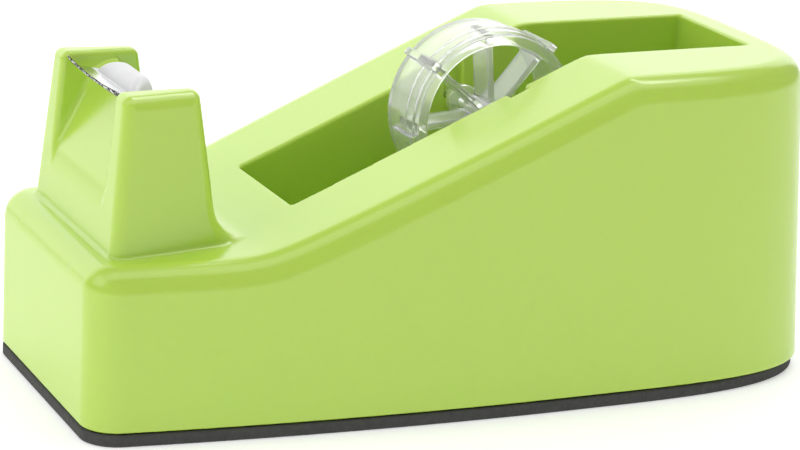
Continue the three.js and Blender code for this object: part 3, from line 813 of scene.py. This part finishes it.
def sheet_between(top, bottom):
    """A closed body between two grids of points of the same shape (rows, columns, 3)."""
    rows, columns = top.shape[:2]
    points = np.concatenate([top.reshape(-1, 3), bottom.reshape(-1, 3)])
    layer = rows * columns
    quads = []
    for r in range(rows - 1):
        for c in range(columns - 1):
            a, b = r * columns + c, r * columns + c + 1
            d, e = a + columns, b + columns
            quads.append((a, b, e, d))
            quads.append((layer + a, layer + d, layer + e, layer + b))
    for r in range(rows - 1):
        first, last = r * columns, r * columns + columns - 1
        quads.append((first, first + columns, layer + first + columns, layer + first))
        quads.append((last, layer + last, layer + last + columns, last + columns))
    for c in range(columns - 1):
        first, last = c, (rows - 1) * columns + c
        quads.append((first, layer + first, layer + first + 1, first + 1))
        quads.append((last, last + 1, layer + last + 1, layer + last))
    return points, quads


def blade_sheet():
    """The toothed strip: it falls back from the teeth to a bend, and lies level behind it."""
    half = BLADE_HIGH[1]
    front = BLADE_LOW[0]
    bend_x, bend_z = BLADE_BEND
    columns = TOOTH_COUNT * TOOTH_STEPS + 1
    across = np.linspace(-half, half, columns)
    notch = np.abs((np.arange(columns) / TOOTH_STEPS) % 1 - 0.5) * 2
    tip_z = BLADE_HEIGHT + BLADE_BOW * (across / half) ** 2
    run, fall = bend_x - front, tip_z - bend_z
    length = np.hypot(run, fall)
    first = TOOTH_DEPTH * notch / length
    top, bottom = [], []
    for share, thickness in BLADE_ROWS:
        along = first + share * (1 - first)
        x = front + run * along
        z = tip_z - fall * along
        top.append(np.stack([x, across, z], 1))
        bottom.append(np.stack([x - thickness * fall / length, across, z - thickness * run / length], 1))
    for x in (bend_x + 0.1, (bend_x + BLADE_BACK) / 2, BLADE_BACK):
        level = np.full(columns, x)
        drawn = (x - bend_x) / (BLADE_BACK - bend_x) * (1 - BLADE_BACK_HALF_WIDTH / half)
        narrowed = across * (1 - drawn)
        top.append(np.stack([level, narrowed, np.full(columns, bend_z)], 1))
        bottom.append(np.stack([level, narrowed, np.full(columns, bend_z - STEEL)], 1))
    return sheet_between(np.array(top), np.array(bottom))


def make_cutter(material):
    strip_points, strip_quads = blade_sheet()
    front, crest = LANDING_AXIS[0] - LANDING_RADIUS, LANDING_AXIS[1] + LANDING_RADIUS
    wide = LANDING_HALF_WIDTH + (LANDING_TAPER + LANDING_LEAN) * LANDING_RADIUS + 0.4
    axes = (
        spaced((front - LANDING_MARGIN, LANDING_REAR + LANDING_MARGIN, LANDING_GRID)),
        spaced((-wide, wide, LANDING_GRID_ACROSS)),
        spaced((SEAT_HEIGHT - 0.2, crest + LANDING_MARGIN, LANDING_GRID)),
    )
    landing_points, landing_quads = surface_of(landing_field, axes)
    points = np.concatenate([strip_points, landing_points])
    quads = np.concatenate([np.array(strip_quads), landing_quads + len(strip_points)])
    piece = new_object("cutter_sheet", points, quads, material)
    bevel = piece.modifiers.new("edges", "BEVEL")
    bevel.width = BEVEL_WIDTH * MM
    bevel.segments = 2
    bevel.angle_limit = BEVEL_ANGLE
    applied(piece)
    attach(piece, "housing")
    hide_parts("cutter_blade")


def dress_carried_nodes():
    """Materials for the pieces that are shown as the frame has them."""
    iron, plate, steel = cast_iron(), grey_plastic(), screw_steel()
    for name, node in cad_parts.items():
        if name.startswith("weight"):
            finish = iron
        elif name.startswith("base_screw"):
            finish = steel
        elif name == "base_plate":
            finish = plate
        else:
            continue
        node.data.materials.clear()
        node.data.materials.append(finish)


# ---------- floor, light and camera ----------


FLOOR_REACH = 3000
FLOOR_GLOW = 0.4


def make_floor():
    half, bottom = FLOOR_REACH, PAD_LOW[2]
    nodes = Nodes("floor_white")
    colour = nodes.ramp(nodes.noise(8), (0.86, 0.86, 0.86), (0.88, 0.88, 0.88))
    nodes.link(colour.outputs["Color"], nodes.shader.inputs["Base Color"])
    nodes.shader.inputs["Roughness"].default_value = 0.9
    nodes.shader.inputs["Emission Color"].default_value = (1, 1, 1, 1)
    nodes.shader.inputs["Emission Strength"].default_value = FLOOR_GLOW
    corners = [(-half, -half, bottom), (half, -half, bottom), (half, half, bottom), (-half, half, bottom)]
    floor = new_object("floor", corners, [(0, 1, 2, 3)], nodes.material)


LIGHTS_AIM = Vector((0, 0, 0.02))
WORLD_STRENGTH = 0.35
WORLD_THROUGH_CLEAR = 1.1  # the studio is white as seen through clear plastic
LIGHTS = {  # each light's place and size in metres, and its power in watts
    "key_light": ((-0.62, 0.02, 0.42), (0.5, 0.4), 0.9),
    "back_light": ((0.1, 1.0, 0.5), (2.4, 1.0), 9.5),
    "top_light": ((0.0, -0.1, 0.65), (1.0, 0.4), 1.5),
    "streak_light": ((0.25, 0.13, 0.6), (0.4, 0.06), 0.6),  # the sharp highlight along the top edge
}


def area_light(name, place, size, power):
    data = bpy.data.lights.new(name, "AREA")
    data.shape = "RECTANGLE"
    data.size, data.size_y = size
    data.energy = power
    lamp = bpy.data.objects.new(name, data)
    bpy.context.scene.collection.objects.link(lamp)
    lamp.location = place
    lamp.rotation_euler = (LIGHTS_AIM - Vector(place)).to_track_quat("-Z", "Y").to_euler()


def light_scene():
    world = bpy.data.worlds.new("studio")
    world.use_nodes = True
    tree = world.node_tree
    tree.nodes["Background"].inputs["Color"].default_value = (1, 1, 1, 1)
    path = tree.nodes.new("ShaderNodeLightPath")
    strength = tree.nodes.new("ShaderNodeMapRange")
    strength.inputs["To Min"].default_value = WORLD_STRENGTH
    strength.inputs["To Max"].default_value = WORLD_THROUGH_CLEAR
    tree.links.new(path.outputs["Is Transmission Ray"], strength.inputs["Value"])
    tree.links.new(strength.outputs["Result"], tree.nodes["Background"].inputs["Strength"])
    bpy.context.scene.world = world
    for name, settings in LIGHTS.items():
        area_light(name, *settings)
    bpy.context.scene.view_settings.view_transform = "Standard"
    bpy.context.scene.view_settings.look = "None"


CAMERA_AZIMUTH = math.radians(-24.06)
CAMERA_ELEVATION = math.radians(16.14)
CAMERA_ROLL = math.radians(2.4)
CAMERA_DISTANCE = 411.7
CAMERA_AIM = (-2.5, 0, 19.75)
FOCAL_LENGTH = 133.9
SENSOR_WIDTH = 36


def make_camera():
    data = bpy.data.cameras.new("camera")
    data.sensor_width = SENSOR_WIDTH
    data.lens = FOCAL_LENGTH
    data.clip_start = 0.01
    camera = bpy.data.objects.new("camera", data)
    bpy.context.scene.collection.objects.link(camera)
    turn, rise = CAMERA_AZIMUTH, CAMERA_ELEVATION
    back = Vector((math.sin(turn) * math.cos(rise), -math.cos(turn) * math.cos(rise), math.sin(rise)))
    level = Vector((math.cos(turn), math.sin(turn), 0))
    upward = back.cross(level)
    right = math.cos(CAMERA_ROLL) * level + math.sin(CAMERA_ROLL) * upward
    up = math.cos(CAMERA_ROLL) * upward - math.sin(CAMERA_ROLL) * level
    place = (Vector(CAMERA_AIM) + CAMERA_DISTANCE * back) * MM
    facing = Matrix((right, up, back)).transposed().to_4x4()
    camera.matrix_world = Matrix.Translation(place) @ facing
    bpy.context.scene.camera = camera


make_camera()
light_scene()
make_floor()
make_housing(lime_plastic())
clear = clear_plastic()
make_wheel(clear)
make_axle(clear)
make_cutter(blade_steel())
make_pad(foam())
dress_carried_nodes()
